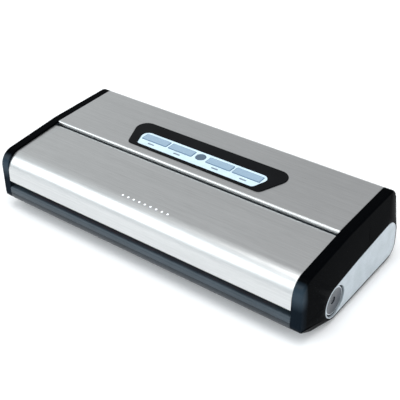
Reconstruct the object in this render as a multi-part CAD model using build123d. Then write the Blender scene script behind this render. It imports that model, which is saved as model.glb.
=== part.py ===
"""Countertop vacuum sealer: a hinged front lid and a fixed rear cover between two end caps.

Frame: X along the machine, -Y towards the user, +Z up. The origin is under the middle of the
body, on the surface that the feet stand on. Lengths are in millimetres, angles in degrees.
"""

from build123d import *
import math
import os

# ---------------------------------------------------------------- driving dimensions
between_caps = 340.0  # clear width between the two end caps
front_y = -83.0  # face of the front bumper
back_y = 83.0  # rearmost line of the end caps
foot_height = 3.0  # underside of the casing above the worktop
deck_z = 29.0  # top of the deck, where the bag lies
bumper_height = 6.3  # front edge of the deck, above the lower shell
bag_slot = 5.5  # between the deck and the closed lid
parting_z = deck_z - bumper_height  # joint between the lower shell and what stands on it

skin = 0.8  # stainless sheet
wall = 2.4  # moulded casing wall
side_gap = 0.2  # between a casing's end wall and an end cap
lid_side_gap = 0.5  # between the lid and an end cap

# ---------------------------------------------------------------- lid
lid_rear_y = -9.6
lid_rear_z = 69.8
lid_slope = 0.090  # rise per unit of depth, towards the back
lid_front_y = -81.2
lid_front_lean = 0.9  # how far the front face leans out at its foot
lid_front_radius = 19.5
lid_foot_z = deck_z + bag_slot
lid_skin_foot_z = lid_foot_z + 1.5
barrel_radius = 4.6  # over the skin
hinge_y = -12.7
lid_rear_wall_gap = 2.5  # lid's inner rear wall, ahead of the hinge line

# ---------------------------------------------------------------- rear cover
plate_front_y = -7.1
plate_front_z = 71.96
plate_slope = 0.026
plate_roll_radius = 2.2
plate_roll_foot_z = 67.8
plate_back_foot_z = 55.0
back_top_radius = 9.0
back_lean = 0.052  # forward lean of the back wall per unit of height
seam_clearance = 0.7  # around the lid's barrel
cover_set_back = 1.2  # cover's front wall, behind the hinge line
groove_drop = 1.2  # floor of the seam, below the plate's front edge

# ---------------------------------------------------------------- casing underside
sole_front_y = -62.0  # where the underside starts to rise to the front
chin_z = 15.5  # height of the chin at the front
sole_radius = 40.0
chin_radius = 10.0
heel_radius = 13.0

# ---------------------------------------------------------------- end caps
band_width = 9.5  # flat band of a cap before its side swells out
cap_swell = 6.5  # how far the side face stands out from the band
cap_proud = 1.8  # cap above the lid's skin
cap_front_y = -82.3
cap_front_radius = 16.0
cap_crown_z = 72.5
cap_crown_y = -2.0
cap_back_z = 74.2
cap_wall = 1.8  # behind a side panel
swell_wall = 2.2
cheek_thickness = 2.2
cheek_gap = 0.1

# ---------------------------------------------------------------- side panels and buttons
button_y = -36.0
button_z = 22.3
panel_nose_radius = 16.4
panel_margin = 1.4  # width of the cap's rim around a panel
panel_rise = 0.092
panel_kink_z = 45.0
panel_back_y = 76.2
panel_back_top_z = 50.4
panel_back_radius = 19.0
panel_heel_radius = 13.0
panel_recess = 1.8
panel_proud = 0.3
panel_gap = 0.15
panel_ring = 1.4  # width of the panel's ring around the button
button_gap = 0.5
button_set_back = 1.4  # button's rim below the panel's face
button_radius = 13.6
button_dish = 1.1
button_lip = 1.0  # flat rim round the dish
button_dimple_radius = 3.5
button_dimple_depth = 0.9
button_flange = 1.6
flange_radius = 15.2
flange_gap = 0.4
button_travel = 3.0

# ---------------------------------------------------------------- sealing parts and chamber
seal_length = 300.0  # centre lines of the two gaskets' long axis
seal_front_y = -60.5
seal_rear_y = -27.0
gasket_width = 6.0
gasket_groove = 3.6
gasket_proud = 2.8
gasket_gap = 0.4  # between the closed gaskets
groove_gap = 0.1
trough_wall = 2.2
trough_clear = 3.4  # between the lower shell's floor and the underside of the chamber
trough_floor_z = foot_height + wall + trough_clear + trough_wall
trough_inset = 3.0  # from a gasket's inner edge to the chamber's wall
tray_wall = 1.2
tray_gap = 0.6
bar_y = -71.0
bar_width = 7.0
bar_length = 300.0
bar_height = 5.0
bar_proud = 0.5
wire_width = 2.6
wire_thickness = 0.2
tape_thickness = 0.25
pressure_bar_width = 7.0
pressure_bar_depth = 3.2
liner_thickness = 5.0

# ---------------------------------------------------------------- latch
catch_depth = 5.0
catch_width = 3.0
catch_x = 163.9
catch_low_angle = 20.0  # from straight down, at the hinge line
catch_high_angle = 56.0
catch_drop = 3.0  # foot of a catch below the latch's lip
barb_angle = 5.0
barb_width = 1.8
latch_gap = 0.4
latch_width = 8.0

# ---------------------------------------------------------------- control panel
bezel_back = 43.9
bezel_front = 2.2
bezel_back_half = 98.0
bezel_front_half = 80.0
bezel_back_radius = 12.0
bezel_front_radius = 6.0
bezel_proud = 1.0
bezel_rim = 1.6  # lap of the bezel on the plate
bezel_depth = 4.0
bezel_ledge = 1.0  # that the keypad plate rests on
keypad_back = 28.3
keypad_front = 5.9
keypad_back_half = 78.8
keypad_front_half = 70.4
keypad_back_radius = 7.0
keypad_front_radius = 4.0
keypad_thickness = 1.6
keypad_sunk = 0.5
key_back = 25.0
key_front = 15.2
key_radius = 1.2
key_proud = 0.4
key_height = 4.0
key_gap = 0.25
key_travel = 0.6
inner_key_span = (8.6, 38.0)
outer_key_span = (40.4, 72.0)
stop_y = 20.0
stop_radius = 5.3
lamp_dash_y = 11.0
lamp_dash_length = 8.0
lamp_dash_width = 1.9

# ---------------------------------------------------------------- lamps in the lid
lamp_count = 9
lamp_pitch = 6.75
lamp_radius = 1.05
lamp_y = -65.0
lamp_proud = 0.1
lamp_depth = 6.0

# ---------------------------------------------------------------- fasteners, feet, inside
screw_radius = 1.5
screw_head_radius = 3.0
screw_head_height = 2.2
boss_radius = 4.2
foot_radius = 9.0
foot_plug = 1.0
foot_x = 150.0
foot_front_y = -40.0
foot_rear_y = 64.0
pin_radius = 2.0
pin_clearance = 0.05
pin_in_lid = 12.0
cheek_boss = 5.0
cheek_boss_wall = 1.9
spring_radius = 5.0
spring_wire = 0.45
spring_turns = 3

half = between_caps / 2
shell_half = half - side_gap
lid_half = half - lid_side_gap
band_x = half + band_width
cap_x = band_x + cap_swell


def lid_top(y):
    return lid_rear_z + lid_slope * (y - lid_rear_y)


def plate_top(y):
    return plate_front_z + plate_slope * (y - plate_front_y)


cover_front_y = hinge_y + cover_set_back
hinge_z = lid_top(hinge_y) - barrel_radius * math.sqrt(1 + lid_slope**2)
back_foot_y = back_y + back_lean * (foot_height + heel_radius)
back_foot_y = back_foot_y + heel_radius * (math.hypot(1, back_lean) - 1)


def back_wall(z, inset=0.0):
    return back_foot_y - back_lean * z - inset


def outline(points, radii):
    """A closed outline in the YZ plane with rounded corners."""
    return make_face(FilletPolyline(*points, radius=radii, close=True))


def along_x(face, x0, x1):
    """Extrude an outline drawn as (Y, Z) from x0 to x1."""
    return extrude(Plane.YZ.offset(x0) * face, amount=x1 - x0)


def box(x0, x1, y0, y1, z0, z1):
    middle = Pos((x0 + x1) / 2, (y0 + y1) / 2, (z0 + z1) / 2)
    return middle * Box(abs(x1 - x0), abs(y1 - y0), abs(z1 - z0))


def rod(x0, x1, y, z, radius):
    """A round bar along X."""
    return Pos((x0 + x1) / 2, y, z) * Rot(0, 90, 0) * Cylinder(radius, abs(x1 - x0))


def post(x, y, z0, z1, radius):
    """A round bar along Z."""
    return Pos(x, y, (z0 + z1) / 2) * Cylinder(radius, z1 - z0)


def left_of(piece):
    """The left-hand twin of a right-hand piece."""
    return mirror(piece, about=Plane.YZ)


parts = {}


# ---------------------------------------------------------------- outlines of the casing
def casing_outline(inset, top):
    """Lower body from the chin round the underside and up the back, flat on top."""
    low = foot_height + inset
    points = [
        (sole_front_y, low),
        (front_y + inset, chin_z + inset / 2),
        (front_y + inset, top),
        (back_wall(top, inset), top),
        (back_wall(low, inset), low),
    ]
    tight = max(heel_radius - inset, 1.0)
    radii = [sole_radius, max(chin_radius - inset, 1.0), 0, 0, tight]
    return outline(points, radii)


def cap_outline(inset=0.0):
    low = foot_height + inset
    points = [
        (sole_front_y, low),
        (cap_front_y - 0.5 + inset, chin_z + inset / 2),
        (cap_front_y + 0.9 + inset, lid_top(cap_front_y) + cap_proud - inset),
        (cap_crown_y, cap_crown_z - inset),
        (back_wall(cap_back_z, inset), cap_back_z - inset),
        (back_wall(low, inset), low),
    ]
    radii = [
        sole_radius,
        chin_radius - inset,
        cap_front_radius - inset,
        60.0,
        back_top_radius - inset,
        heel_radius - inset,
    ]
    return outline(points, radii)


def nose_corner(angle, turn, radius):
    """Corner whose fillet of this radius is concentric with the release button."""
    reach = radius / math.cos(math.radians(turn / 2))
    bearing = math.radians(angle)
    return (button_y + reach * math.cos(bearing), button_z + reach * math.sin(bearing))


def swell_outline():
    """Edge of a cap's outer face: a round nose about the button, rising to the back."""
    radius = panel_nose_radius + panel_margin
    top_tilt = math.degrees(math.atan(panel_rise))
    turn = (180 - top_tilt) / 3
    nose = [nose_corner(-90 - turn * (i + 0.5), turn, radius) for i in range(3)]
    top_y = 2.0
    points = nose + [
        (top_y, panel_kink_z),
        (panel_back_y, panel_back_top_z),
        (panel_back_y + 1.8, button_z - radius),
    ]
    nose_radius = radius - 0.15
    radii = [nose_radius] * 3 + [80.0, panel_back_radius, panel_heel_radius]
    return outline(points, radii)


# ---------------------------------------------------------------- lower shell
shell_screws = [(x, y) for x in (-158.0, 158.0) for y in (-73.0, -19.0)]
cover_screws = [(x, 69.0) for x in (-150.0, 0.0, 150.0)]
boss_top_z = 18.0
screw_floor = foot_height + wall


def sole_z(y):
    """Height of the outer underside at a depth y."""
    if y >= sole_front_y + 12:
        return foot_height
    rise = (chin_z - foot_height) / (sole_front_y - front_y)
    return foot_height + rise * (sole_front_y - y)


lower_shell = along_x(casing_outline(0, parting_z), -shell_half, shell_half)
lower_shell -= along_x(casing_outline(wall, parting_z + 1), wall - shell_half, shell_half - wall)
for x, y in shell_screws + cover_screws:
    low_z = sole_z(y)
    lower_shell += post(x, y, low_z + 1.2, boss_top_z, boss_radius)
for x, y in shell_screws + cover_screws:
    low_z = sole_z(y)
    seat_z = low_z + screw_head_height + 1.5
    lower_shell -= post(x, y, foot_height - 1, seat_z, screw_head_radius + 0.3)
    lower_shell -= post(x, y, foot_height - 1, boss_top_z + 1, screw_radius + 0.2)
feet_places = [(x, y) for x in (-foot_x, foot_x) for y in (foot_front_y, foot_rear_y)]
for x, y in feet_places:
    lower_shell -= post(x, y, foot_height - 1, foot_height + foot_plug, foot_radius)
latch_slot = (latch_width + 1.2) / 2
stem_low_z = 10.5
stem_top_z = 14.5
for side in (-1, 1):
    x0, x1 = sorted((side * (shell_half - wall - 1), side * (shell_half + 1)))
    low, top = button_y - latch_slot, button_y + latch_slot
    lower_shell -= box(x0, x1, low, top, stem_low_z - 0.6, stem_top_z + 0.6)
parts["lower_shell"] = lower_shell

# ---------------------------------------------------------------- deck
deck_rear_y = cover_front_y - 0.2
bumper_edge = min(2.5, bumper_height / 2)
deck_outer = outline(
    [(front_y, parting_z), (front_y, deck_z), (deck_rear_y, deck_z), (deck_rear_y, parting_z)],
    [0, bumper_edge, 0, 0],
)
deck = along_x(deck_outer, -shell_half, shell_half)
deck -= box(wall - shell_half, shell_half - wall, front_y + wall, deck_rear_y - wall,
            parting_z - 1, deck_z - wall)


def ring(length, y0, y1, width, z0, z1):
    """A rounded rectangular ring about the chamber, given by its centre line."""
    depth = y1 - y0
    outer = RectangleRounded(length + width, depth + width, depth / 4 + width / 2)
    inner = RectangleRounded(length - width, depth - width, depth / 4 - width / 2)
    place = Pos(0, (y0 + y1) / 2, z0)
    return extrude(place * (outer - inner), amount=z1 - z0)


def pool(length, y0, y1, grow, z0, z1):
    """A rounded rectangular block about the chamber, grown or shrunk all round."""
    depth = y1 - y0
    radius = depth / 4 + grow
    face = RectangleRounded(length + 2 * grow, depth + 2 * grow, radius)
    return extrude(Pos(0, (y0 + y1) / 2, z0) * face, amount=z1 - z0)


seat = gasket_width / 2 + trough_inset
groove_floor = deck_z - gasket_groove
deck += ring(seal_length, seal_front_y, seal_rear_y, gasket_width + 2 * trough_wall,
             groove_floor - trough_wall, deck_z - wall)
deck += pool(seal_length, seal_front_y, seal_rear_y, trough_wall - seat, trough_floor_z - trough_wall,
             deck_z)
deck -= pool(seal_length, seal_front_y, seal_rear_y, -seat, trough_floor_z, deck_z + 1)
deck -= ring(seal_length, seal_front_y, seal_rear_y, gasket_width + 2 * groove_gap,
             groove_floor, deck_z + 1)
bar_floor = deck_z + bar_proud - bar_height
deck += box(-bar_length / 2 - wall, bar_length / 2 + wall, bar_y - bar_width / 2 - wall,
            bar_y + bar_width / 2 + wall, bar_floor - wall, deck_z)
deck -= box(-bar_length / 2 - groove_gap, bar_length / 2 + groove_gap,
            bar_y - bar_width / 2 - groove_gap, bar_y + bar_width / 2 + groove_gap,
            bar_floor, deck_z + 1)
for x, y in shell_screws:
    deck += post(x, y, boss_top_z, deck_z - wall, boss_radius)
for x, y in shell_screws:
    deck -= post(x, y, boss_top_z - 1, deck_z - wall, screw_radius)
port_x = 132.0  # suction port through the chamber's rear wall
port_z = trough_floor_z + 6.5
port_radius = 3.0
port_length = 9.0
port_wall = 1.4
hose_radius = 4.2
hose_bore = 3.05
hose_way = hose_radius + 0.5  # notch for the hose in the walls it passes
chamber_rear_y = seal_rear_y - seat
port_tip_y = chamber_rear_y + trough_wall + port_length


def rod_y(x, z, y0, y1, radius):
    """A round bar along Y."""
    return Pos(x, (y0 + y1) / 2, z) * Rot(90, 0, 0) * Cylinder(radius, abs(y1 - y0))


deck += rod_y(port_x, port_z, chamber_rear_y + 0.5, port_tip_y, port_radius)
deck -= rod_y(port_x, port_z, chamber_rear_y - 1, port_tip_y + 1, port_radius - port_wall)
deck -= rod_y(port_x, port_z, deck_rear_y - wall - 1, deck_rear_y + 1, hose_way)


def sector(radius, depth, low, high, x0, x1):
    """A piece of a ring about the hinge line; angles are from straight down, forwards."""
    def at(r, angle):
        bearing = math.radians(angle)
        return (hinge_y - r * math.sin(bearing), hinge_z - r * math.cos(bearing))

    inner, outer = radius - depth / 2, radius + depth / 2
    middle = (low + high) / 2
    edges = [
        ThreePointArc(at(inner, low), at(inner, middle), at(inner, high)),
        Line(at(inner, high), at(outer, high)),
        ThreePointArc(at(outer, high), at(outer, middle), at(outer, low)),
        Line(at(outer, low), at(inner, low)),
    ]
    return along_x(make_face(edges), x0, x1)


lip_top_z = groove_floor - trough_wall - 0.5
catch_reach = hinge_z - lip_top_z + catch_drop
catch_radius = catch_reach / math.cos(math.radians(catch_low_angle))
slot_gap = 0.8
catch_x0 = catch_x - catch_width / 2
catch_x1 = catch_x + catch_width / 2
for side in (-1, 1):
    x0, x1 = sorted((side * (catch_x0 - barb_width - slot_gap), side * (catch_x1 + slot_gap)))
    deck -= sector(catch_radius, catch_depth + 2 * slot_gap, 10, 60, x0, x1)
parts["base_deck"] = deck

# ---------------------------------------------------------------- sealing parts in the deck
gasket_top = deck_z + gasket_proud
parts["lower_gasket"] = ring(seal_length, seal_front_y, seal_rear_y, gasket_width,
                             groove_floor, gasket_top)
heating_bar = box(-bar_length / 2, bar_length / 2, bar_y - bar_width / 2, bar_y + bar_width / 2,
                  bar_floor, bar_floor + bar_height)
parts["heating_bar"] = heating_bar
wire_z = bar_floor + bar_height
wire_half = bar_length / 2 - 4.0
parts["heating_wire"] = box(-wire_half, wire_half, bar_y - wire_width / 2, bar_y + wire_width / 2,
                            wire_z, wire_z + wire_thickness)
tape_z = wire_z + wire_thickness
parts["sealing_tape"] = box(-bar_length / 2, bar_length / 2, bar_y - bar_width / 2,
                            bar_y + bar_width / 2, tape_z, tape_z + tape_thickness)

tray_floor_z = trough_floor_z + 0.5
tray_top_z = trough_floor_z + 9.0
tray = pool(seal_length, seal_front_y, seal_rear_y, -seat - tray_gap, tray_floor_z, tray_top_z)
tray -= pool(seal_length, seal_front_y, seal_rear_y, -seat - tray_gap - tray_wall,
             tray_floor_z + tray_wall, tray_top_z + 1)
grip = 14.0
tray += box(-grip / 2, grip / 2, seal_front_y + seat + tray_gap, seal_front_y + seat + 5.0,
            tray_top_z - 1.4, tray_top_z)
parts["drip_tray"] = tray

# ---------------------------------------------------------------- lid
lid_corner_z = lid_top(lid_front_y)


def lid_body(inset, low_z, rear):
    """Lid's side outline ahead of the barrel, inset from the outside of its skin."""
    top_drop = inset * math.hypot(1, lid_slope)
    front = lid_front_y + inset
    points = [
        (front - lid_front_lean, low_z),
        (front, lid_corner_z - top_drop + lid_slope * inset),
        (rear, lid_top(rear) - top_drop),
        (rear, low_z),
    ]
    return outline(points, [0, lid_front_radius - inset, 0, 0])


def barrel(radius):
    return Pos(hinge_y, hinge_z) * Circle(radius)


rear_wall_y = hinge_y - lid_rear_wall_gap
hair = 0.004  # keeps the web just under the skin
lid_outer = lid_body(0, lid_skin_foot_z, hinge_y) + barrel(barrel_radius)
lid_under = lid_body(skin, lid_foot_z, hinge_y) + barrel(barrel_radius - skin)
keep_above = outline(
    [
        (front_y - 5, lid_skin_foot_z),
        (front_y - 5, 90),
        (5, 90),
        (5, hinge_z + 1.5),
        (hinge_y, hinge_z + 1.5),
        (rear_wall_y - 20, lid_top(rear_wall_y) - 12),
        (lid_front_y + 8, lid_skin_foot_z),
    ],
    0.0,
)
lid_skin = along_x((lid_outer - lid_under) & keep_above, -lid_half, lid_half)
lamp_places = [(lamp_pitch * (i - (lamp_count - 1) / 2)) for i in range(lamp_count)]
lid_normal = Vector(0, -lid_slope, 1).normalized()
lamp_plane = Plane(origin=(0, lamp_y, lid_top(lamp_y)), x_dir=(1, 0, 0), z_dir=lid_normal)


def lamp_stack(radius, low, high):
    """The row of lamps as one group of round bars square to the lid."""
    group = Part()
    for x in lamp_places:
        group += lamp_plane * Pos(x, 0, (low + high) / 2) * Cylinder(radius, high - low)
    return group


lid_skin -= lamp_stack(lamp_radius, -lamp_depth, 2)
parts["lid_skin"] = lid_skin

shell_face = lid_body(skin, lid_foot_z, rear_wall_y) + barrel(barrel_radius - skin)
web = outline(
    [
        (rear_wall_y - 1, lid_top(rear_wall_y - 1) - skin - hair),
        (hinge_y, lid_top(hinge_y) - skin - hair),
        (hinge_y, hinge_z - 3),
        (rear_wall_y - 1, hinge_z - 7),
    ],
    0.0,
)
shell_face = shell_face + (web & lid_under)
lid_block = along_x(shell_face, -lid_half, lid_half)
lid_shell = lid_block
cavity = lid_body(skin + wall, lid_foot_z - 1, rear_wall_y - wall)
lid_shell -= along_x(cavity, wall - lid_half, lid_half - wall)
barrel_bore = barrel_radius - skin - 2.0
lid_shell -= rod(-lid_half + pin_in_lid + 4, lid_half - pin_in_lid - 4,
                 hinge_y, hinge_z, barrel_bore)
for side in (-1, 1):
    x0, x1 = sorted((side * (lid_half - pin_in_lid), side * (lid_half + 1)))
    lid_shell -= rod(x0, x1, hinge_y, hinge_z, pin_radius)
lid_shell -= lamp_stack(lamp_radius, -lamp_depth - 1, 2)

# The liner closes the lid's underside and drops in between its walls.
liner_gap = 0.1
liner_low = lid_foot_z + 0.3
liner_front = lid_front_y + skin + wall + liner_gap
liner_rear = rear_wall_y - wall - liner_gap
liner_half = lid_half - wall - liner_gap
liner = box(-liner_half, liner_half, liner_front, liner_rear, liner_low, liner_low + liner_thickness)
upper_seal_z = gasket_top + gasket_gap
upper_groove_z = liner_low + liner_thickness - 1.6
liner -= ring(seal_length, seal_front_y, seal_rear_y, gasket_width + 2 * groove_gap,
              liner_low - 1, upper_groove_z)
liner -= pool(seal_length, seal_front_y, seal_rear_y, -seat, liner_low - 1, upper_groove_z)
tape_top = tape_z + tape_thickness
liner -= box(-bar_length / 2 - groove_gap, bar_length / 2 + groove_gap,
             bar_y - pressure_bar_width / 2 - groove_gap,
             bar_y + pressure_bar_width / 2 + groove_gap, liner_low - 1,
             liner_low + pressure_bar_depth)
parts["upper_gasket"] = ring(seal_length, seal_front_y, seal_rear_y, gasket_width,
                             upper_seal_z, upper_groove_z)
parts["pressure_bar"] = box(-bar_length / 2, bar_length / 2, bar_y - pressure_bar_width / 2,
                            bar_y + pressure_bar_width / 2, tape_top + gasket_gap,
                            liner_low + pressure_bar_depth)
lid_screw_places = [(x, y) for x in (-161.5, 161.5) for y in (-73.5, -25.5)]
lid_screw_top = liner_low + liner_thickness + 6.0
for x, y in lid_screw_places:
    lid_shell += post(x, y, liner_low + liner_thickness, lid_rear_z, boss_radius) & lid_block
    lid_shell -= post(x, y, liner_low, lid_screw_top, screw_radius)
    liner -= post(x, y, liner_low - 1, liner_low + liner_thickness + 1, screw_radius + 0.2)
    liner -= post(x, y, liner_low - 1, liner_low + screw_head_height, screw_head_radius + 0.3)


def screw(x, y, seat_z, tip_z):
    """A pan-head screw driven upwards, its head under seat_z."""
    return post(x, y, seat_z - screw_head_height, seat_z, screw_head_radius) + post(
        x, y, seat_z, tip_z, screw_radius)


lid_screws = Part()
for x, y in lid_screw_places:
    lid_screws += screw(x, y, liner_low + screw_head_height, lid_screw_top)
parts["lid_screws"] = lid_screws
parts["progress_lamps"] = lamp_stack(lamp_radius, -lamp_depth, lamp_proud)
lamp_board = lamp_plane * Pos(0, 0, -lamp_depth - 0.8) * Box(72.0, 12.0, 1.6)
parts["lamp_board"] = lamp_board

# ---------------------------------------------------------------- catches on the lid
catch = sector(catch_radius, catch_depth, catch_low_angle, catch_high_angle, catch_x0, catch_x1)
catch += sector(catch_radius, catch_depth, catch_low_angle, catch_low_angle + barb_angle,
                catch_x0 - barb_width, catch_x0)
catch_foot_z = liner_low
catch &= box(catch_x0 - 10, catch_x1 + 10, -75, -20, 0, catch_foot_z)
catch_root_y = hinge_y - math.sqrt(catch_radius**2 - (hinge_z - catch_foot_z) ** 2)
catch += box(catch_x0 - 3.5, catch_x1, catch_root_y - 3.5, catch_root_y + 6.5, catch_foot_z - 1.2,
             catch_foot_z)
parts["lid_catch_right"] = catch
parts["lid_catch_left"] = left_of(catch)
parts["lid_shell"] = lid_shell
parts["lid_liner"] = liner

hinge_pin = rod(lid_half - pin_in_lid, half + cheek_boss, hinge_y, hinge_z, pin_radius)
parts["hinge_pin_right"] = hinge_pin
parts["hinge_pin_left"] = left_of(hinge_pin)

# ---------------------------------------------------------------- rear cover and its plate
groove_floor_z = plate_roll_foot_z - groove_drop


def rear_body(inset, low_z, front):
    """Rear cover's side outline, inset from the outside of its plate."""
    top_inset = inset * math.hypot(1, plate_slope)
    flat_z = plate_top(0) - top_inset
    corner_y = (back_wall(flat_z, inset)) / (1 + back_lean * plate_slope)
    return [
        (front, low_z),
        (front, plate_top(front) - top_inset),
        (corner_y, plate_top(corner_y) - top_inset),
        (back_wall(low_z, inset), low_z),
    ]


def rear_face(inset, low_z, front, front_radius):
    radii = [0, front_radius, back_top_radius - inset, 0]
    return outline(rear_body(inset, low_z, front), radii)


plate_outer = rear_face(0, parting_z, plate_front_y, plate_roll_radius)
plate_inner = rear_face(skin, parting_z - 1, plate_front_y + skin, plate_roll_radius - skin)
plate_keep = outline(
    [
        (plate_front_y - 1, plate_roll_foot_z),
        (plate_front_y - 1, 90),
        (back_y + 9, 90),
        (back_y + 9, plate_back_foot_z),
        (back_y - 20, plate_back_foot_z),
        (plate_front_y + 8, plate_roll_foot_z),
    ],
    0.0,
)
plate_half = half - 0.3
rear_plate = along_x((plate_outer - plate_inner) & plate_keep, -plate_half, plate_half)

cover_top = rear_face(skin, parting_z, plate_front_y + skin, plate_roll_radius - skin)
cover_step = outline(
    [
        (cover_front_y, parting_z),
        (cover_front_y, groove_floor_z),
        (plate_front_y + 5, groove_floor_z),
        (plate_front_y + 5, parting_z),
    ],
    0.0,
)
seam_round = barrel(barrel_radius + seam_clearance)
cover_face = cover_top + cover_step - seam_round
inner_top = rear_face(skin + wall, parting_z - 1, plate_front_y + skin + wall, 0.5)
inner_step = outline(
    [
        (cover_front_y + wall, parting_z - 1),
        (cover_front_y + wall, groove_floor_z - wall),
        (plate_front_y + 8, groove_floor_z - wall),
        (plate_front_y + 8, parting_z - 1),
    ],
    0.0,
)
hollow_face = inner_top + inner_step - barrel(barrel_radius + seam_clearance + wall)
rear_cover = along_x(cover_face, -shell_half, shell_half)
rear_cover -= along_x(hollow_face, wall - shell_half, shell_half - wall)
rear_cover -= rod_y(port_x, port_z, cover_front_y - 1, cover_front_y + wall + 1, hose_way)
for x, y in cover_screws:
    rear_cover += box(x - 1.2, x + 1.2, y, back_wall(parting_z + 1) - skin - 1.0,
                      parting_z + 1.3, parting_z + 17)
    rear_cover += post(x, y, boss_top_z, parting_z + 17, boss_radius)
    rear_cover -= post(x, y, boss_top_z - 1, parting_z + 14, screw_radius)
base_screws = Part()
for x, y in shell_screws:
    base_screws += screw(x, y, sole_z(y) + screw_head_height + 1.5, deck_z - wall - 0.5)
for x, y in cover_screws:
    base_screws += screw(x, y, sole_z(y) + screw_head_height + 1.5, parting_z + 12)
parts["base_screws"] = base_screws

# ---------------------------------------------------------------- control panel
tilt = math.atan(plate_slope)
panel_normal = Vector(0, -math.sin(tilt), math.cos(tilt))
panel_plane = Plane(origin=(0, 0, plate_top(0)), x_dir=(1, 0, 0), z_dir=panel_normal)
panel_axis = Axis((0, 0, 0), (0, panel_normal.Y, panel_normal.Z))


def trapezoid(front, back, front_half, back_half, front_radius, back_radius, grow=0.0):
    points = [
        (-front_half, front),
        (front_half, front),
        (back_half, back),
        (-back_half, back),
    ]
    face = make_face(FilletPolyline(*points, radius=[front_radius, front_radius, back_radius,
                                                     back_radius], close=True))
    return offset(face, amount=grow) if grow else face


def on_panel(face, low, high):
    return extrude(panel_plane * Pos(0, 0, low) * face, amount=high - low)


bezel_sizes = (bezel_front, bezel_back, bezel_front_half, bezel_back_half, bezel_front_radius,
               bezel_back_radius)
keypad_sizes = (keypad_front, keypad_back, keypad_front_half, keypad_back_half,
                keypad_front_radius, keypad_back_radius)
bezel = on_panel(trapezoid(*bezel_sizes), 0, bezel_proud)
bezel = chamfer(bezel.faces().sort_by(panel_axis)[-1].edges(), 0.6)
bezel += on_panel(trapezoid(*bezel_sizes, grow=-bezel_rim), -bezel_depth, 0.01)
keypad_top = bezel_proud - keypad_sunk
keypad_low = keypad_top - keypad_thickness
bezel -= on_panel(trapezoid(*keypad_sizes, grow=0.15), keypad_low, bezel_proud + 1)
bezel -= on_panel(trapezoid(*keypad_sizes, grow=-bezel_ledge), -bezel_depth - 1,
                  keypad_low + 0.01)
bezel_window = on_panel(trapezoid(*bezel_sizes, grow=-bezel_rim + 0.2), -12, 5)
rear_plate -= bezel_window
rear_cover -= bezel_window
parts["control_bezel"] = bezel


def key_face(x0, x1, grow=0.0):
    place = Pos((x0 + x1) / 2, (key_front + key_back) / 2)
    width = x1 - x0 + 2 * grow
    depth = key_back - key_front + 2 * grow
    return place * RectangleRounded(width, depth, key_radius + grow)


key_spans = [
    (-outer_key_span[1], -outer_key_span[0]),
    (-inner_key_span[1], -inner_key_span[0]),
    inner_key_span,
    outer_key_span,
]
keypad = on_panel(trapezoid(*keypad_sizes), keypad_low, keypad_top)
key_top = keypad_top + key_proud
for number, (x0, x1) in enumerate(key_spans, 1):
    keypad -= on_panel(key_face(x0, x1, key_gap), keypad_low - 1, keypad_top + 1)
    key = on_panel(key_face(x0, x1), key_top - key_height, key_top)
    key = fillet(key.faces().sort_by(panel_axis)[-1].edges(), 0.3)
    parts[f"mode_key_{number}"] = key
stop_place = Pos(0, stop_y)
keypad -= on_panel(stop_place * Circle(stop_radius + key_gap), keypad_low - 1, keypad_top + 1)
stop_button = on_panel(stop_place * Circle(stop_radius), key_top - key_height, key_top)
stop_button = fillet(stop_button.faces().sort_by(panel_axis)[-1].edges(), 0.3)
parts["stop_button"] = stop_button

dash_places = [Pos((x0 + x1) / 2, lamp_dash_y) for x0, x1 in key_spans]
key_lamps = Part()
for place in dash_places:
    keypad -= on_panel(place * SlotOverall(lamp_dash_length, lamp_dash_width), keypad_low - 1,
                       keypad_top + 1)
    key_lamps += on_panel(place * SlotOverall(lamp_dash_length, lamp_dash_width), keypad_low - 1.0,
                          keypad_top + 0.1)
parts["keypad_plate"] = keypad
parts["key_lamps"] = key_lamps

switch_top = key_top - key_height - key_travel - 0.1
switch_height = 3.0
board_top = switch_top - switch_height
board_thickness = 1.6
key_switches = Part()
switch_places = [Pos((x0 + x1) / 2, stop_y) for x0, x1 in key_spans] + [stop_place]
for place in switch_places:
    key_switches += on_panel(place * Rectangle(6.0, 6.0), board_top, switch_top - 0.8)
    key_switches += on_panel(place * Circle(1.6), switch_top - 0.8, switch_top)
parts["key_switches"] = key_switches
board_face = Pos(0, (keypad_front + keypad_back) / 2) * Rectangle(150.0, 30.0)
parts["control_board"] = on_panel(board_face, board_top - board_thickness, board_top)
parts["rear_plate"] = rear_plate

# ---------------------------------------------------------------- end caps
cap_screw_places = [(-60.0, 17.0), (58.0, 13.0), (4.0, 54.0), (62.0, 54.0)]
screw_post = 3.8
cap_face = cap_outline()
swell_face = swell_outline()
recess_x = cap_x - panel_recess
behind_x = recess_x - cap_wall
cap_block = along_x(cap_face, half, band_x)
cap_block += loft([Plane.YZ.offset(band_x) * cap_face, Plane.YZ.offset(cap_x) * swell_face])
cap = cap_block - along_x(cap_outline(wall), half - 1, band_x - 0.5)
cap -= along_x(offset(swell_face, amount=-swell_wall), half + 1, behind_x)
for y, z in cap_screw_places:
    cap += rod(half + cheek_thickness + 0.2, behind_x + 0.5, y, z, screw_post) & cap_block
for y, z in cap_screw_places:
    cap -= rod(half, band_x - 1.0, y, z, screw_radius)
cap -= along_x(offset(swell_face, amount=-panel_margin), recess_x, cap_x + 1)
cap -= rod(half + 3, cap_x + 1, button_y, button_z, button_radius + button_gap)
parts["end_cap_right"] = cap
parts["end_cap_left"] = left_of(cap)

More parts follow.
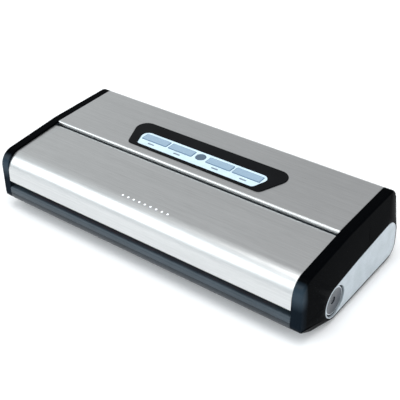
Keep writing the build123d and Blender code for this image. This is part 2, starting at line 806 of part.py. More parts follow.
cheek_x = half + cheek_thickness
cheek = along_x(cap_outline(wall + cheek_gap), half, cheek_x)
cheek += rod(cheek_x, half + cheek_boss + 1.0, hinge_y, hinge_z,
             pin_radius + cheek_boss_wall)
cheek -= rod(half - 1, half + cheek_boss + 0.3, hinge_y, hinge_z, pin_radius + pin_clearance)
cheek -= box(half - 1, cheek_x + 1, button_y - latch_slot, button_y + latch_slot,
             stem_low_z - 0.6, stem_top_z + 0.6)
for y, z in cap_screw_places:
    cheek -= rod(half - 1, cheek_x + 1, y, z, screw_radius + 0.2)
parts["cheek_plate_right"] = cheek
parts["cheek_plate_left"] = left_of(cheek)

inner_x = shell_half - wall
cap_screws = Part()
for y, z in cap_screw_places:
    hole = rod(inner_x - 1, shell_half + 1, y, z, screw_radius + 0.2)
    driven = rod(inner_x - screw_head_height, inner_x, y, z, screw_head_radius)
    driven += rod(inner_x, band_x - 1.5, y, z, screw_radius)
    cap_screws += driven + left_of(driven)
    if z < parting_z:
        lower_shell -= hole + left_of(hole)
    else:
        rear_cover -= hole + left_of(hole)
parts["cap_screws"] = cap_screws

# ---------------------------------------------------------------- side panels
panel_face_x = cap_x + panel_proud
side_panel = along_x(offset(swell_face, amount=-panel_margin - panel_gap), recess_x, panel_face_x)
side_panel = chamfer(side_panel.faces().sort_by(Axis.X)[-1].edges(), 0.4)
side_panel -= rod(recess_x - 1, panel_face_x + 1, button_y, button_z, panel_nose_radius - panel_ring)
parts["side_panel_right"] = side_panel
parts["side_panel_left"] = left_of(side_panel)

# ---------------------------------------------------------------- release buttons and latches
button_face_x = panel_face_x - button_set_back
flange_x = behind_x - flange_gap
button_back_x = flange_x - button_flange
button = rod(button_back_x, button_face_x, button_y, button_z, button_radius)
button = chamfer(button.faces().sort_by(Axis.X)[-1].edges(), 0.4)
button += rod(button_back_x, flange_x, button_y, button_z, flange_radius)
dish_top = button_radius - button_lip
dish = Cone(button_dimple_radius, dish_top, button_dish)
dish = Pos(button_face_x - button_dish / 2, button_y, button_z) * Rot(0, 90, 0) * dish
button -= dish
button -= rod(button_face_x - button_dish - button_dimple_depth, button_face_x, button_y, button_z,
              button_dimple_radius)
parts["release_button_right"] = button
parts["release_button_left"] = left_of(button)

lip_x = catch_x0 - barb_width - latch_gap
nose_x0 = lip_x - 4.2
nose_x1 = lip_x - 1.8
lip_y = hinge_y - catch_radius * math.sin(math.radians(catch_low_angle + barb_angle + 3.0))
stem_half = latch_width / 2
latch = box(nose_x0, button_back_x, button_y - stem_half, button_y + stem_half, stem_low_z,
            stem_top_z)
latch += box(nose_x0, nose_x1, lip_y - 3.0, button_y + stem_half, stem_low_z, lip_top_z)
latch += box(nose_x1, lip_x, lip_y - 3.0, lip_y + 3.0, lip_top_z - 3.2, lip_top_z)
parts["latch_slide_right"] = latch
parts["latch_slide_left"] = left_of(latch)

spring_gap = 0.15
coil_length = button_back_x - cheek_x - 2 * spring_gap - 2 * spring_wire
coil_path = Helix(coil_length / spring_turns, coil_length, spring_radius)
coil = sweep(Plane(coil_path @ 0, z_dir=coil_path % 0) * Circle(spring_wire), path=coil_path)
spring = Pos(cheek_x + spring_gap + spring_wire, button_y, button_z) * Rot(0, 90, 0) * coil
parts["button_spring_right"] = spring
parts["button_spring_left"] = left_of(spring)

# ---------------------------------------------------------------- feet
feet = Part()
for x, y in feet_places:
    foot = post(x, y, 0, foot_height + foot_plug, foot_radius - 0.1)
    feet += chamfer(foot.faces().sort_by(Axis.Z)[0].edges(), 0.6)
parts["rubber_feet"] = feet

# ---------------------------------------------------------------- mains inlet
inlet_x = -60.0
inlet_z = 40.0
inlet_width = 26.0
inlet_height = 15.0
inlet_flange = 2.0
inlet_depth = 18.0
socket_width = 17.0
socket_height = 9.0
socket_depth = 12.0
contact_radius = 1.2
contact_spacing = 8.6
inlet_wall_y = back_wall(inlet_z, skin)
inlet_face_y = inlet_wall_y + 1.0
flange_low_y = back_wall(inlet_z - inlet_height / 2 - inlet_flange, skin)
inlet = box(inlet_x - inlet_width / 2, inlet_x + inlet_width / 2, inlet_face_y - inlet_depth,
            inlet_face_y, inlet_z - inlet_height / 2, inlet_z + inlet_height / 2)
inlet += box(inlet_x - inlet_width / 2 - inlet_flange, inlet_x + inlet_width / 2 + inlet_flange,
             flange_low_y + 0.05, inlet_face_y + 0.4, inlet_z - inlet_height / 2 - inlet_flange,
             inlet_z + inlet_height / 2 + inlet_flange)
socket_floor_y = inlet_face_y - socket_depth
socket_plane = Plane(origin=(inlet_x, socket_floor_y, inlet_z), x_dir=(1, 0, 0), z_dir=(0, 1, 0))
inlet -= extrude(socket_plane * SlotOverall(socket_width, socket_height), amount=socket_depth + 2)
contacts = Part()
for x in (inlet_x - contact_spacing / 2, inlet_x + contact_spacing / 2):
    contacts += rod_y(x, inlet_z, inlet_face_y - inlet_depth - 4, inlet_face_y - 3, contact_radius)
inlet -= contacts
parts["mains_inlet"] = inlet
parts["inlet_contacts"] = contacts
rear_cover -= box(inlet_x - inlet_width / 2 - 0.2, inlet_x + inlet_width / 2 + 0.2, 60, back_y + 5,
                  inlet_z - inlet_height / 2 - 0.2, inlet_z + inlet_height / 2 + 0.2)

# ---------------------------------------------------------------- transformer
core_x0, core_x1 = -142.0, -120.0
core_y0, core_y1 = 12.0, 58.0
core_z0, core_z1 = 9.0, 49.0
leg = 7.5
core = box(core_x0, core_x1, core_y0, core_y1, core_z0, core_z1)
core_mid_y = (core_y0 + core_y1) / 2
for y0, y1 in ((core_y0 + leg, core_mid_y - leg), (core_mid_y + leg, core_y1 - leg)):
    core -= box(core_x0 - 1, core_x1 + 1, y0, y1, core_z0 + leg, core_z1 - leg)
coil_grow = 6.0
winding = box(core_x0 - coil_grow, core_x1 + coil_grow, core_y0 + leg + 0.3, core_y1 - leg - 0.3,
              core_z0 + leg + 0.3, core_z1 - leg - 0.3)
winding -= box(core_x0 - 0.3, core_x1 + 0.3, core_mid_y - leg - 0.3, core_mid_y + leg + 0.3,
               core_z0, core_z1)
parts["transformer_core"] = core
parts["transformer_coil"] = winding
for y in (core_y0 + 4, core_y1 - 4):
    lower_shell += box(core_x0, core_x1, y - 4, y + 4, screw_floor - 0.5, core_z0)

# ---------------------------------------------------------------- vacuum pump
pump_y = 34.0
pump_z = 27.0
motor_radius = 14.0
motor_x0, motor_x1 = 24.0, 66.0
head_x0, head_x1 = 66.0, 96.0
head_half = 16.0
crank_x0, crank_x1 = 72.0, 78.0
crank_radius = 8.0
crank_offset = 2.0
shaft_radius = 1.6
shaft_gap = 0.05
nozzle_radius = 3.0
nozzle_length = 8.0
nozzle_z = pump_z + 8.0
motor = rod(motor_x0, motor_x1, pump_y, pump_z, motor_radius)
motor -= rod(motor_x1 - 12, motor_x1 + 1, pump_y, pump_z, shaft_radius + shaft_gap)
head = box(head_x0, head_x1, pump_y - head_half, pump_y + head_half, pump_z - head_half,
           pump_z + head_half)
head -= rod(crank_x0 - 2, crank_x1 + 2, pump_y, pump_z, crank_radius + crank_offset + 1.5)
head -= rod(head_x0 - 1, crank_x0, pump_y, pump_z, shaft_radius + 0.5)
head += rod(head_x1, head_x1 + nozzle_length, pump_y, nozzle_z, nozzle_radius)
head -= rod(head_x1 - 6, head_x1 + nozzle_length + 1, pump_y, nozzle_z, nozzle_radius - port_wall)
shaft = rod(motor_x1 - 11, crank_x0, pump_y, pump_z, shaft_radius)
crank = rod(crank_x0, crank_x1, pump_y, pump_z - crank_offset, crank_radius)
mounts = Part()
for x in (motor_x0 + 8, motor_x1 - 8):
    mounts += box(x - 4, x + 4, pump_y - 12, pump_y + 12, screw_floor, pump_z - 4)
mounts -= rod(motor_x0 - 1, motor_x1 + 1, pump_y, pump_z, motor_radius)
parts["pump_motor"] = motor
parts["pump_head"] = head
parts["pump_shaft"] = shaft
parts["pump_crank"] = crank
parts["pump_mounts"] = mounts

# ---------------------------------------------------------------- vacuum hose
hose_route = [
    (port_x, port_tip_y - 6, port_z),
    (port_x, port_tip_y + 20, port_z),
    (port_x - 1, port_tip_y + 42, port_z + 4),
    (port_x - 14, pump_y, nozzle_z),
    (head_x1 + 2, pump_y, nozzle_z),
]
hose_bends = [14.0, 11.0, 10.0]
hose_path = FilletPolyline(*hose_route, radius=hose_bends)
hose_end = Plane(hose_path @ 0, z_dir=hose_path % 0)
hose = sweep(hose_end * Circle(hose_radius), path=hose_path)
hose -= sweep(hose_end * Circle(hose_bore), path=hose_path)
parts["vacuum_hose"] = hose

# ---------------------------------------------------------------- boards and switch
board_x0, board_x1 = -96.0, -4.0
board_y0, board_y1 = 4.0, 60.0
main_board_z = 13.0
board_edge = 6.0
main_board = box(board_x0, board_x1, board_y0, board_y1, main_board_z, main_board_z + 1.6)
for x in (board_x0 + board_edge, board_x1 - board_edge):
    for y in (board_y0 + board_edge, board_y1 - board_edge):
        lower_shell += post(x, y, screw_floor - 0.5, main_board_z, 3.0)
parts["main_board"] = main_board
on_board = main_board_z + 1.6
board_parts = box(-88, -70, 12, 28, on_board, on_board + 14)
board_parts += box(-62, -46, 12, 26, on_board, on_board + 12)
for x in (-34.0, -20.0):
    board_parts += post(x, 20.0, on_board, on_board + 18, 5.0)
board_parts += box(-60, -40, 40, 50, on_board, on_board + 3)
parts["board_parts"] = board_parts

valve_x0, valve_x1 = 112.0, 134.0
air_valve = box(valve_x0, valve_x1, 54, 70, screw_floor, screw_floor + 16)
air_valve += rod(valve_x0 - 6, valve_x0, 62, screw_floor + 8, 2.0)
parts["air_valve"] = air_valve

switch_x1 = nose_x0 - button_travel - 3.0
lid_switch = left_of(box(switch_x1 - 6, switch_x1, -24, -6, screw_floor, screw_floor + 10))
parts["lid_switch"] = lid_switch

parts["lower_shell"] = lower_shell
parts["rear_cover"] = rear_cover

os.makedirs("parts", exist_ok=True)
for name, piece in parts.items():
    export_step(piece, f"parts/{name}.step")
print(len(parts), "nodes")
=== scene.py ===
import math

import bmesh
import bpy
from mathutils import Matrix, Vector


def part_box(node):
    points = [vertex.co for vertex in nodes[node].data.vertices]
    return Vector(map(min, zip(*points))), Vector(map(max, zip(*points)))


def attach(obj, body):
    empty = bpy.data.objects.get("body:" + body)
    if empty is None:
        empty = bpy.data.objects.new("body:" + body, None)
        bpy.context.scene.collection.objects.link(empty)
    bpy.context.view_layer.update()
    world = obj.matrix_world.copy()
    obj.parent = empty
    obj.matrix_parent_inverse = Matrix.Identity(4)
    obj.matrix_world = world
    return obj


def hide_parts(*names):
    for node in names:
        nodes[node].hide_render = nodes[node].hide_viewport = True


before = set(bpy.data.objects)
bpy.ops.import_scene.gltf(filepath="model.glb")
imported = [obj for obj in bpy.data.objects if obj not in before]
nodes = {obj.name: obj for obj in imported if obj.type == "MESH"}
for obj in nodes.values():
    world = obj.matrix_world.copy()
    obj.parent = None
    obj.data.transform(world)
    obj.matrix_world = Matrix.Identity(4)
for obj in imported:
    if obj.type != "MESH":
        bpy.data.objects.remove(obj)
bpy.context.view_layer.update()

mm = 0.001

# ------------------------------------------------------------------ camera
# A short telephoto lens looks down on the right-hand front corner from a little over half a
# metre, leaning slightly to one side.
swing = math.radians(38.302)
tilt = math.radians(34.292)
lean = math.radians(-1.617)
backward = Vector((math.sin(swing) * math.cos(tilt), -math.cos(swing) * math.cos(tilt),
                   math.sin(tilt)))
level = Vector((math.cos(swing), math.sin(swing), 0))
upright = backward.cross(level)
rightward = level * math.cos(lean) + upright * math.sin(lean)
upward = upright * math.cos(lean) - level * math.sin(lean)
camera = bpy.data.objects.new("camera", bpy.data.cameras.new("camera"))
bpy.context.scene.collection.objects.link(camera)
bpy.context.scene.camera = camera
camera_place = (0.4344, -0.5332, 0.5022)
lens_length = 75.71
film_width = 36.0
camera.matrix_world = Matrix((rightward, upward, backward)).transposed().to_4x4()
camera.location = camera_place
camera.data.lens = lens_length
camera.data.sensor_width = film_width
camera.data.clip_start = 10 * mm


# ------------------------------------------------------------------ studio
# A white paper floor under a pale sky that darkens towards the back and overhead, so that the
# flat steel looks grey and its rolled front looks bright, with three soft lamps.
class Tap:
    """One output of a node. Used in an expression it adds the Math nodes for it."""

    def __init__(self, net, socket):
        self.net = net
        self.socket = socket

    def math(self, operation, *values):
        return self.net.add("ShaderNodeMath", {"operation": operation}, dict(enumerate(values)))

    def __add__(self, other):
        return self.math("ADD", self, other)

    def __radd__(self, other):
        return self.math("ADD", other, self)

    def __sub__(self, other):
        return self.math("SUBTRACT", self, other)

    def __rsub__(self, other):
        return self.math("SUBTRACT", other, self)

    def __mul__(self, other):
        return self.math("MULTIPLY", self, other)

    def __rmul__(self, other):
        return self.math("MULTIPLY", other, self)

    def __pow__(self, other):
        return self.math("POWER", self, other)

    def __abs__(self):
        return self.math("ABSOLUTE", self)

    def over(self, edge):
        return self.math("GREATER_THAN", self, edge)

    def largest(self, other):
        return self.math("MAXIMUM", self, other)

    def wave(self):
        return self.math("SINE", self)


class Net:
    """A node tree being wired up. add() makes a node, sets it and returns one output."""

    def __init__(self, tree):
        self.tree = tree

    def add(self, kind, settings=None, values=None, out=0):
        node = self.tree.nodes.new(kind)
        for key, value in (settings or {}).items():
            if key == "stops":
                while len(node.color_ramp.elements) < len(value):
                    node.color_ramp.elements.new(0.5)
                for stop, (place, colour) in zip(node.color_ramp.elements, value):
                    stop.position = place
                    stop.color = (*colour, 1.0)
            else:
                setattr(node, key, value)
        for key, value in (values or {}).items():
            if isinstance(value, Tap):
                self.tree.links.new(value.socket, node.inputs[key])
            else:
                node.inputs[key].default_value = value
        return Tap(self, node.outputs[out]) if len(node.outputs) else None


class Finish(Net):
    """A material being mixed from patterns laid on the object's own coordinates."""

    def __init__(self, name):
        self.material = bpy.data.materials.new(name)
        self.material.use_nodes = True
        super().__init__(self.material.node_tree)
        self.tree.nodes.clear()

    def place(self, stretch=(1, 1, 1), shift=(0, 0, 0)):
        where = self.add("ShaderNodeTexCoord", out="Object")
        return self.add("ShaderNodeMapping", values={"Vector": where, "Location": shift,
                                                     "Scale": stretch})

    def axes(self, shift=(0, 0, 0)):
        vector = self.place(shift=shift)
        return [self.add("ShaderNodeSeparateXYZ", values={0: vector}, out=i) for i in range(3)]

    def noise(self, scale, detail=3.0, stretch=(1, 1, 1)):
        values = {"Vector": self.place(stretch), "Scale": scale, "Detail": detail}
        return self.add("ShaderNodeTexNoise", values=values)

    def ramp(self, amount, *stops):
        return self.add("ShaderNodeValToRGB", {"stops": stops}, {0: amount})

    def blend(self, amount, first, second):
        inks = [ink if isinstance(ink, Tap) else (*ink, 1.0) for ink in (first, second)]
        values = {"Factor": amount, 6: inks[0], 7: inks[1]}
        return self.add("ShaderNodeMix", {"data_type": "RGBA"}, values, out=2)

    def bump(self, height, depth):
        return self.add("ShaderNodeBump", values={"Height": height, "Distance": depth})

    def surface(self, **values):
        sockets = {key.replace("_", " "): value for key, value in values.items()}
        shader = self.add("ShaderNodeBsdfPrincipled", values=sockets)
        self.add("ShaderNodeOutputMaterial", values={"Surface": shader})
        return self.material


def paper(name):
    finish = Finish(name)
    tooth = finish.noise(700.0)
    tone = finish.ramp(tooth, (0.3, (0.90, 0.905, 0.91)), (0.7, (0.93, 0.935, 0.94)))
    return finish.surface(Base_Color=tone, Roughness=0.92, Specular_IOR_Level=0.1,
                          Emission_Color=tone, Emission_Strength=0.1)


def new_piece(name, mesh, material):
    piece = bpy.data.objects.new(name, mesh)
    bpy.context.scene.collection.objects.link(piece)
    mesh.materials.clear()
    mesh.materials.append(material)
    return piece


bpy.context.scene.view_settings.view_transform = "Standard"
floor_reach = 6.0
floor_mesh = bpy.data.meshes.new("floor")
floor_mesh.from_pydata([(-floor_reach, -floor_reach, 0), (floor_reach, -floor_reach, 0),
                        (floor_reach, floor_reach, 0), (-floor_reach, floor_reach, 0)],
                       [], [(0, 1, 2, 3)])
new_piece("floor", floor_mesh, paper("floor_paper"))

world = bpy.data.worlds.new("studio")
bpy.context.scene.world = world
world.use_nodes = True
sky = Net(world.node_tree)
sky.tree.nodes.clear()
sky_way = sky.add("ShaderNodeTexCoord", out="Generated")
sky_parts = [sky.add("ShaderNodeSeparateXYZ", values={0: sky_way}, out=i) for i in range(3)]
sky_back = sky_parts[0] * 0.12 + sky_parts[1] * 0.6 + sky_parts[2] * 0.5 + 0.1
sky_stops = [(0.15, (0.84, 0.89, 0.92)), (0.5, (0.74, 0.76, 0.77)), (0.85, (0.44, 0.44, 0.45))]
sky_tone = sky.add("ShaderNodeValToRGB", {"stops": sky_stops}, {0: sky_back})
sky_glow = sky.add("ShaderNodeBackground", values={"Color": sky_tone, "Strength": 1.0})
sky.add("ShaderNodeOutputWorld", values={"Surface": sky_glow})


def soft_lamp(name, place, width, height, power, tint):
    lamp = bpy.data.lights.new(name, "AREA")
    lamp.shape = "RECTANGLE"
    lamp.size = width
    lamp.size_y = height
    lamp.energy = power
    lamp.color = tint
    holder = bpy.data.objects.new(name, lamp)
    bpy.context.scene.collection.objects.link(holder)
    holder.location = place
    holder.rotation_mode = "QUATERNION"
    holder.rotation_quaternion = (-Vector(place)).to_track_quat("-Z", "Y")


soft_lamp("lamp_high", place=(0.2, -0.3, 1.9), width=1.3, height=1.3, power=20,
          tint=(1.0, 1.0, 1.0))
soft_lamp("lamp_front", place=(-1.1, -1.3, 1.1), width=1.4, height=1.1, power=11,
          tint=(0.94, 0.98, 1.0))
soft_lamp("lamp_right", place=(1.9, 0.3, 0.5), width=0.9, height=0.7, power=7,
          tint=(0.92, 0.97, 1.0))


# ------------------------------------------------------------------ rubber feet
# Four moulded rubber feet pushed into round sockets in the underside. Each is a low disc with a
# rounded rim and a shallow hollow in its sole.
class Recipe(Net):
    """A Geometry Nodes tree with named sizes, whose result is kept as a plain mesh."""

    def __init__(self, name):
        super().__init__(bpy.data.node_groups.new(name, "GeometryNodeTree"))
        self.tree.interface.new_socket("Geometry", in_out="INPUT",
                                       socket_type="NodeSocketGeometry")
        self.tree.interface.new_socket("Geometry", in_out="OUTPUT",
                                       socket_type="NodeSocketGeometry")
        self.entry = self.tree.nodes.new("NodeGroupInput")
        self.sizes = {}

    def size(self, name, kind):
        socket = self.tree.interface.new_socket(name, in_out="INPUT",
                                                socket_type="NodeSocket" + kind)
        self.sizes[name] = socket.identifier
        return Tap(self, self.entry.outputs[name])

    def start(self):
        return Tap(self, self.entry.outputs["Geometry"])

    def close(self, shape):
        whole = self.add("GeometryNodeRealizeInstances", values={0: shape})
        painted = self.add("GeometryNodeSetMaterial", values={
            "Geometry": whole, "Material": self.size("Finish", "Material")})
        exit_node = self.tree.nodes.new("NodeGroupOutput")
        self.tree.links.new(painted.socket, exit_node.inputs["Geometry"])

    def make(self, name, finish, places, **sizes):
        base = bpy.data.meshes.new(name + "_places")
        base.from_pydata(places, [], [])
        worker = bpy.data.objects.new(name, base)
        bpy.context.scene.collection.objects.link(worker)
        modifier = worker.modifiers.new("recipe", "NODES")
        modifier.node_group = self.tree
        for key, value in {"Finish": finish, **sizes}.items():
            modifier[self.sizes[key]] = value
        eye = bpy.context.evaluated_depsgraph_get()
        mesh = bpy.data.meshes.new_from_object(worker.evaluated_get(eye), depsgraph=eye)
        bpy.data.objects.remove(worker)
        mesh.name = name
        return new_piece(name, mesh, finish)


def even(mesh, angle=35):
    for face in mesh.polygons:
        face.use_smooth = True
    mesh.set_sharp_from_angle(angle=math.radians(angle))


def turned(name, profile, sides, matrix):
    """A closed turned shape. The profile is (radius, height) pairs from pole to pole."""
    bm = bmesh.new()
    rings = []
    for radius, height in profile:
        count = sides if radius > 0 else 1
        turns = [2 * math.pi * i / sides for i in range(count)]
        rings.append([bm.verts.new((radius * math.cos(t), radius * math.sin(t), height))
                      for t in turns])
    for low, high in zip(rings, rings[1:]):
        for i in range(sides):
            corners = [low[i % len(low)], low[(i + 1) % len(low)],
                       high[(i + 1) % len(high)], high[i % len(high)]]
            bm.faces.new(list(dict.fromkeys(corners)))
    bmesh.ops.recalc_face_normals(bm, faces=bm.faces)
    bm.transform(matrix)
    mesh = bpy.data.meshes.new(name)
    bm.to_mesh(mesh)
    bm.free()
    even(mesh)
    return mesh


def belongs(piece, body, slot, *replaced):
    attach(piece, body)
    if replaced:
        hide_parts(*replaced)


def rubber(name, dark, light):
    finish = Finish(name)
    bloom = finish.noise(160.0, 5.0)
    pores = finish.noise(3000.0, 2.0)
    return finish.surface(Base_Color=finish.ramp(bloom, (0.35, dark), (0.7, light)),
                          Roughness=bloom * 0.2 + 0.62, Specular_IOR_Level=0.3,
                          Normal=finish.bump(pores, 0.05 * mm))


set_out = Recipe("set_out")
unit = set_out.add("GeometryNodeObjectInfo", {"transform_space": "ORIGINAL"},
                   {"Object": set_out.size("Piece", "Object")}, out="Geometry")
set_out.close(set_out.add("GeometryNodeInstanceOnPoints",
                          values={"Points": set_out.start(), "Instance": unit}))


def set_of(name, mesh, places, finish):
    """One piece made of the same small shape put at several places."""
    pattern = new_piece(name + "_pattern", mesh, finish)
    whole = set_out.make(name, finish, places, Piece=pattern)
    bpy.data.objects.remove(pattern)
    even(whole.data)
    return whole


foot_low, foot_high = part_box("rubber_feet")
foot_radius = 8.9 * mm
sole_radius = 7.9 * mm
hollow_radius = 5.4 * mm
hollow_depth = 0.5 * mm
foot_profile = [(0, hollow_depth), (hollow_radius - 0.8 * mm, hollow_depth),
                (hollow_radius, 0), (sole_radius, 0), (sole_radius + 0.7 * mm, 0.25 * mm),
                (foot_radius, 0.9 * mm), (foot_radius, foot_high.z), (0, foot_high.z)]
foot_places = [(x, y, 0) for x in (foot_low.x + foot_radius, foot_high.x - foot_radius)
               for y in (foot_low.y + foot_radius, foot_high.y - foot_radius)]
foot_rubber = rubber("foot_rubber", (0.012, 0.012, 0.013), (0.03, 0.03, 0.032))
feet = set_of("feet", turned("foot", foot_profile, 48, Matrix()), foot_places, foot_rubber)
belongs(feet, "base", "foot_rubber", "rubber_feet")


# ------------------------------------------------------------------ lower shell
# The tray that everything stands in: injection-moulded ABS with a softly curved sole, a
# parting line round it and bosses inside. Its corners have the small radius of a mould.
weld_gap = 0.002 * mm
flat_turn = math.radians(0.6)
ring_turn = math.radians(12)
edge_turn = math.radians(28)
ring_reach = 0.02 * mm


def softened(name, node, width, finish, segments=2, ring_x=None, ring_width=0):
    """A copy of a CAD piece with its edges rounded as a mould or a press leaves them. The
    edges in the plane x = ring_x get a radius of their own."""
    bm = bmesh.new()
    bm.from_mesh(nodes[node].data)
    bmesh.ops.remove_doubles(bm, verts=bm.verts, dist=weld_gap)
    bmesh.ops.dissolve_limit(bm, angle_limit=flat_turn, verts=bm.verts, edges=bm.edges)
    if ring_x is not None:
        ring = [e for e in bm.edges if e.calc_face_angle() > ring_turn
                and all(abs(v.co.x - ring_x) < ring_reach for v in e.verts)]
        bmesh.ops.bevel(bm, geom=ring, offset=ring_width, segments=6, profile=0.5,
                        affect="EDGES", clamp_overlap=False, loop_slide=True)
    edges = [e for e in bm.edges if e.is_manifold and e.calc_face_angle() > edge_turn]
    bmesh.ops.bevel(bm, geom=edges, offset=width, segments=segments, profile=0.5,
                    affect="EDGES", clamp_overlap=ring_x is not None, loop_slide=True)
    mesh = bpy.data.meshes.new(name)
    bm.to_mesh(mesh)
    bm.free()
    even(mesh, 50)
    piece = new_piece(name, mesh, finish)
    flat_faces = piece.modifiers.new("flat faces", "WEIGHTED_NORMAL")
    flat_faces.keep_sharp = True
    eye = bpy.context.evaluated_depsgraph_get()
    settled = bpy.data.meshes.new_from_object(piece.evaluated_get(eye), depsgraph=eye)
    piece.modifiers.clear()
    piece.data = settled
    settled.name = name
    return piece


def moulded(name, dark, light, rough, texture, relief, index=1.35):
    """Injection-moulded plastic: a slow drift of tone and the mould's own fine texture."""
    finish = Finish(name)
    drift = finish.noise(28.0, 4.0)
    grain = finish.noise(texture, 2.0)
    dust = finish.noise(900.0, 6.0)
    tone = finish.ramp(drift * 0.7 + dust * 0.3, (0.36, dark), (0.66, light))
    return finish.surface(Base_Color=tone, Roughness=drift * 0.1 + grain * 0.06 + rough - 0.08,
                          IOR=index, Normal=finish.bump(grain, relief))


casing = moulded("casing_black", (0.012, 0.017, 0.023), (0.024, 0.032, 0.041), 0.38,
                 2200.0, 0.012 * mm)
tub = softened("lower_tub", "lower_shell", 0.4 * mm, casing)
belongs(tub, "base", "casing_black", "lower_shell")


# ------------------------------------------------------------------ transformer
# The heat-sealing transformer: a stack of thin iron plates riveted together, and a winding
# wrapped in amber polyester tape. It stands on two ribs at the left end.
sheet_pitch = 0.5 * mm
tape_pitch = 9 * mm


def laminated(name):
    finish = Finish(name)
    x, _, _ = finish.axes()
    sheets = abs((x * (math.pi / sheet_pitch)).wave())
    scale = finish.noise(120.0, 5.0)
    tone = finish.ramp(scale, (0.3, (0.055, 0.057, 0.062)), (0.7, (0.13, 0.125, 0.12)))
    return finish.surface(Base_Color=tone, Metallic=0.85, Roughness=scale * 0.3 + 0.35,
                          Normal=finish.bump(sheets ** 0.4, 0.06 * mm))


def wrapped_tape(name):
    finish = Finish(name)
    _, y, z = finish.axes()
    turns = abs(((y + z * 0.12) * (math.pi / tape_pitch)).wave())
    lap = turns.over(0.12)
    tone = finish.blend(lap, (0.36, 0.20, 0.03), (0.62, 0.42, 0.08))
    return finish.surface(Base_Color=tone, Roughness=0.34, Coat_Weight=0.4,
                          Normal=finish.bump(lap, 0.05 * mm))


core_iron = laminated("core_iron")
core = softened("iron_core", "transformer_core", 0.35 * mm, core_iron)
belongs(core, "base", "core_iron", "transformer_core")
coil_tape = wrapped_tape("coil_tape")
winding = softened("taped_winding", "transformer_coil", 1.6 * mm, coil_tape, segments=4)
belongs(winding, "base", "coil_tape", "transformer_coil")


# ------------------------------------------------------------------ vacuum pump
# A small motor in a drawn steel can drives a crank in a grey moulded pump head. It lies on two
# rubber cradles, and a clear silicone tube joins the head to the drip-tray port.
can_middle_x = 45 * mm
can_seam_reach = 19.4 * mm


def drawn_can(name):
    finish = Finish(name)
    x, _, _ = finish.axes()
    draw_lines = finish.noise(1.0, 2.0, (60, 2600, 2600))
    seam = abs(x - can_middle_x).over(can_seam_reach)
    tone = finish.ramp(draw_lines, (0.35, (0.42, 0.43, 0.44)), (0.7, (0.58, 0.59, 0.6)))
    tone = finish.blend(seam, tone, (0.30, 0.30, 0.31))
    return finish.surface(Base_Color=tone, Metallic=0.95, Roughness=draw_lines * 0.2 + 0.2,
                          Normal=finish.bump(draw_lines, 0.01 * mm))


def machined(name, tint, rough):
    """Turned or ground steel: fine rings of tool marks and a little staining."""
    finish = Finish(name)
    marks = finish.noise(1.0, 2.0, (4200, 320, 320))
    stain = finish.noise(260.0, 4.0)
    tone = finish.blend(stain, tuple(0.82 * c for c in tint), tint)
    return finish.surface(Base_Color=tone, Metallic=1.0, Roughness=marks * 0.14 + rough,
                          Normal=finish.bump(marks, 0.008 * mm))


def silicone(name, tint, clear):
    finish = Finish(name)
    haze = finish.noise(340.0, 4.0)
    tone = finish.blend(haze, tuple(0.85 * c for c in tint), tint)
    return finish.surface(Base_Color=tone, Roughness=haze * 0.16 + 0.24,
                          Transmission_Weight=clear, IOR=1.41, Subsurface_Weight=0.05,
                          Normal=finish.bump(haze, 0.02 * mm))


def refinish(finish, *names):
    """Gives CAD pieces whose shape is already right their own finish."""
    for name in names:
        for slot in nodes[name].material_slots:
            slot.material = finish


motor_can = drawn_can("motor_can")
can = softened("motor_case", "pump_motor", 0.9 * mm, motor_can, segments=3)
belongs(can, "base", "motor_can", "pump_motor")
pump_grey = moulded("pump_grey", (0.10, 0.105, 0.11), (0.15, 0.155, 0.16), 0.5, 1500.0,
                    0.02 * mm)
pump_block = softened("pump_block", "pump_head", 0.6 * mm, pump_grey)
belongs(pump_block, "base", "pump_grey", "pump_head")
valve_body = softened("valve_body", "air_valve", 0.6 * mm, pump_grey)
belongs(valve_body, "base", "pump_grey", "air_valve")
cradles = softened("motor_cradles", "pump_mounts", 0.5 * mm, foot_rubber)
belongs(cradles, "base", "foot_rubber", "pump_mounts")
turned_steel = machined("turned_steel", (0.60, 0.60, 0.59), 0.16)
refinish(turned_steel, "pump_shaft", "pump_crank", "hinge_pin_left", "hinge_pin_right",
         "heating_wire")
refinish(silicone("hose_clear", (0.80, 0.82, 0.80), 0.55), "vacuum_hose")


# ------------------------------------------------------------------ circuit boards and inlet
# Green epoxy boards with etched tracks carry black parts. A two-pin mains inlet, with brass
# contacts, is clipped through the back.
def circuit_board(name):
    finish = Finish(name)
    brick = finish.add("ShaderNodeTexBrick", {"offset": 0.37, "squash": 1.0}, {
        "Vector": finish.place(), "Scale": 150.0, "Mortar Size": 0.09, "Mortar Smooth": 0.05,
        "Brick Width": 1.3, "Row Height": 0.32}, out=1)
    blotch = finish.noise(90.0).over(0.47)
    tracks = brick * blotch
    weave = finish.noise(1800.0)
    mask = finish.ramp(weave, (0.3, (0.008, 0.055, 0.022)), (0.7, (0.012, 0.075, 0.03)))
    tone = finish.blend(tracks, mask, (0.03, 0.16, 0.06))
    return finish.surface(Base_Color=tone, Roughness=0.3, Coat_Weight=0.5,
                          Normal=finish.bump(tracks, 0.03 * mm))


def plated_brass(name):
    finish = Finish(name)
    tarnish = finish.noise(420.0, 4.0)
    tone = finish.ramp(tarnish, (0.3, (0.58, 0.40, 0.15)), (0.7, (0.78, 0.59, 0.27)))
    return finish.surface(Base_Color=tone, Metallic=1.0, Roughness=tarnish * 0.2 + 0.18)


